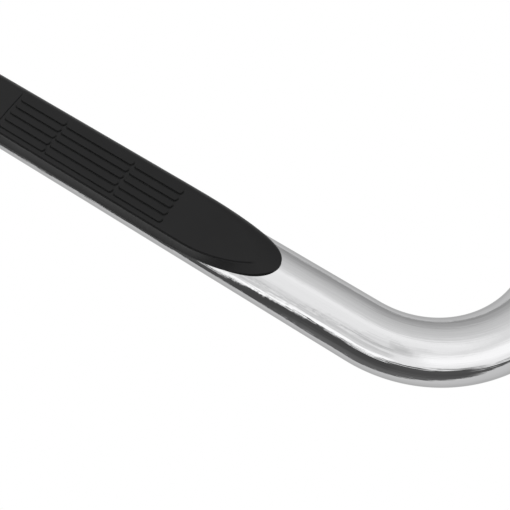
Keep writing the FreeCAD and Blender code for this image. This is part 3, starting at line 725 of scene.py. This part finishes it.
def dipped_level(tree, level, bearing):
    """The level for the outboard lights, raised towards the rear so that they hang lower there."""
    dip = tree.nodes.new("ShaderNodeMapRange")
    dip.interpolation_type = "SMOOTHSTEP"
    dip.inputs["From Min"].default_value = math.radians(DIP_FADE[0])
    dip.inputs["From Max"].default_value = math.radians(DIP_FADE[1])
    dip.inputs["To Max"].default_value = STRIP_DIP / 180
    tree.links.new(bearing, dip.inputs["Value"])
    return world_math(tree, "ADD", level, dip.outputs["Result"])


def make_studio_light():
    """Bright ceiling, strip lights over a dark room outboard, a lit wall at each end, a pale one inboard."""
    world = bpy.data.worlds.new("studio")
    world.use_nodes = True
    scene.world = world
    tree = world.node_tree
    direction = tree.nodes.new("ShaderNodeTexCoord")
    split = tree.nodes.new("ShaderNodeSeparateXYZ")
    tree.links.new(direction.outputs["Generated"], split.inputs[0])
    x, y, z = split.outputs
    elevation = world_math(tree, "ARCSINE", z)
    level = world_math(tree, "MULTIPLY_ADD", elevation, 1 / math.pi, 0.5)
    outboard = world_math(tree, "MULTIPLY", y, -1.0)
    azimuth = world_math(tree, "ARCTAN2", world_math(tree, "ABSOLUTE", x), outboard)
    dipped = dipped_level(tree, level, world_math(tree, "ARCTAN2", x, outboard))
    light = world_ramp(tree, dipped, STRIP_LIGHT)
    others = ((dipped, BROAD_LIGHT), (dipped, TALL_LIGHT), (level, END_LIGHT), (level, INBOARD_LIGHT))
    for (low, high), (height, stops) in zip(LIGHT_FADES, others):
        light = world_fade(tree, azimuth, low, high, light, world_ramp(tree, height, stops))
    background = tree.nodes["Background"]
    tree.links.new(light, background.inputs["Color"])
    background.inputs["Strength"].default_value = WORLD_STRENGTH


def white_card(name, brightness):
    """A plain material that only glows, for the floor and the backdrop."""
    material = bpy.data.materials.new(name)
    material.use_nodes = True
    tree = material.node_tree
    tree.nodes.remove(tree.nodes["Principled BSDF"])
    glow = tree.nodes.new("ShaderNodeEmission")
    glow.inputs["Strength"].default_value = brightness
    tree.links.new(glow.outputs[0], tree.nodes["Material Output"].inputs["Surface"])
    return material


def make_stage():
    """A pale floor that shows only in the bar's surfaces, and a white backdrop that only the camera sees."""
    half, depth = FLOOR_SIZE[0] / 2, FLOOR_SIZE[1]
    edge_y, floor_z = FLOOR_EDGE
    floor = mesh_object("floor", [(-half, 0, 0), (half, 0, 0), (half, depth, 0), (-half, depth, 0)],
                        [(0, 1, 2, 3)])
    turn = Matrix.Rotation(-math.radians(FLOOR_TURN), 4, "Z")
    floor.matrix_world = Matrix.Translation((HALF_RUN, edge_y, floor_z)) @ turn
    floor.data.materials.append(white_card("pale_floor", 1.0))
    floor.visible_camera = False
    work = bmesh.new()
    bmesh.ops.create_icosphere(work, subdivisions=3, radius=BACKDROP_RADIUS)
    shell = bpy.data.meshes.new("backdrop")
    work.to_mesh(shell)
    work.free()
    backdrop = bpy.data.objects.new("backdrop", shell)
    scene.collection.objects.link(backdrop)
    backdrop.data.materials.append(white_card("white_backdrop", 1.0))
    for ray in ("diffuse", "glossy", "transmission", "shadow", "volume_scatter"):
        setattr(backdrop, f"visible_{ray}", False)


def make_camera():
    """A steep, close view down onto the front of the bar, from outboard and ahead."""
    azimuth, elevation, roll = (math.radians(angle) for angle in CAMERA_ANGLES)
    back = Vector((math.sin(azimuth) * math.cos(elevation), -math.cos(azimuth) * math.cos(elevation),
                   math.sin(elevation)))
    right = Vector((math.cos(azimuth), math.sin(azimuth), 0))
    up = back.cross(right)
    turned_right = right * math.cos(roll) + up * math.sin(roll)
    turned_up = up * math.cos(roll) - right * math.sin(roll)
    data = bpy.data.cameras.new("camera")
    data.sensor_width = CAMERA_SENSOR
    data.lens = CAMERA_LENS
    data.clip_start = 0.01
    camera = bpy.data.objects.new("camera", data)
    scene.collection.objects.link(camera)
    spot = CAMERA_TARGET + back * CAMERA_DISTANCE
    camera.matrix_world = Matrix((
        (turned_right.x, turned_up.x, back.x, spot.x),
        (turned_right.y, turned_up.y, back.y, spot.y),
        (turned_right.z, turned_up.z, back.z, spot.z),
        (0, 0, 0, 1)))
    scene.camera = camera


# ---- put it together -------------------------------------------------------------------------------------

def dress(obj, material):
    """Give an object one material."""
    obj.data.materials.clear()
    obj.data.materials.append(material)


def dress_cad_nodes(finishes):
    """Materials and broken edges, of a width in metres, for the CAD nodes whose names end in a suffix."""
    for suffix, material, bevel in finishes:
        for name, obj in nodes.items():
            if name.endswith(suffix):
                dress(obj, material)
                if bevel:
                    edge = obj.modifiers.new("broken_edges", "BEVEL")
                    edge.width = bevel
                    edge.segments = 2
                    edge.limit_method = "ANGLE"
                    edge.angle_limit = math.radians(35)


make_camera()
make_studio_light()
make_stage()
scene.view_settings.view_transform = "Standard"

steel = polished_steel()
tube = make_tube()
dress(tube, steel)
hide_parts("main_tube")
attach(tube, "root")

pad_material = moulded_plastic("pad_black", PAD_TONE, grain=0.00001, rough=0.42, ior=1.18)
for pad_name, pad_node in (("front_tread_pad", "front_step_pad"), ("rear_tread_pad", "rear_step_pad")):
    dress(make_pad(pad_name, pad_node), pad_material)
cap_material = moulded_plastic("cap_black", CAP_TONE, grain=0.00003, rough=0.38, gloss=0.3)
for plug_name, plug_node, plug_side in (("front_end_plug", "front_end_cap", 1),
                                        ("rear_end_plug", "rear_end_cap", -1)):
    dress(make_plug(plug_name, plug_node, plug_side), cap_material)

zinc = plated_steel("bright_zinc", BRIGHT_ZINC)
dress_cad_nodes([
    ("mounting_bracket", powder_coat(), 0.0006),
    ("isolator", soft_rubber("isolator_rubber", RUBBER_TONE, 700.0, 0.00008), 0.0003),
    ("pad_tapes", soft_rubber("foam_tape", FOAM_TONE, 1500.0, 0.0001), 0),
    ("pad_clips", moulded_plastic("natural_nylon", NYLON_TONE, grain=0.00002, rough=0.45), 0.0002),
    ("threaded_inserts", plated_steel("yellow_zinc", YELLOW_ZINC), 0.0002),
    ("bracket_bolts", zinc, 0.0003),
    ("spring_washers", zinc, 0.0002),
    ("flat_washers", zinc, 0.0002),
])
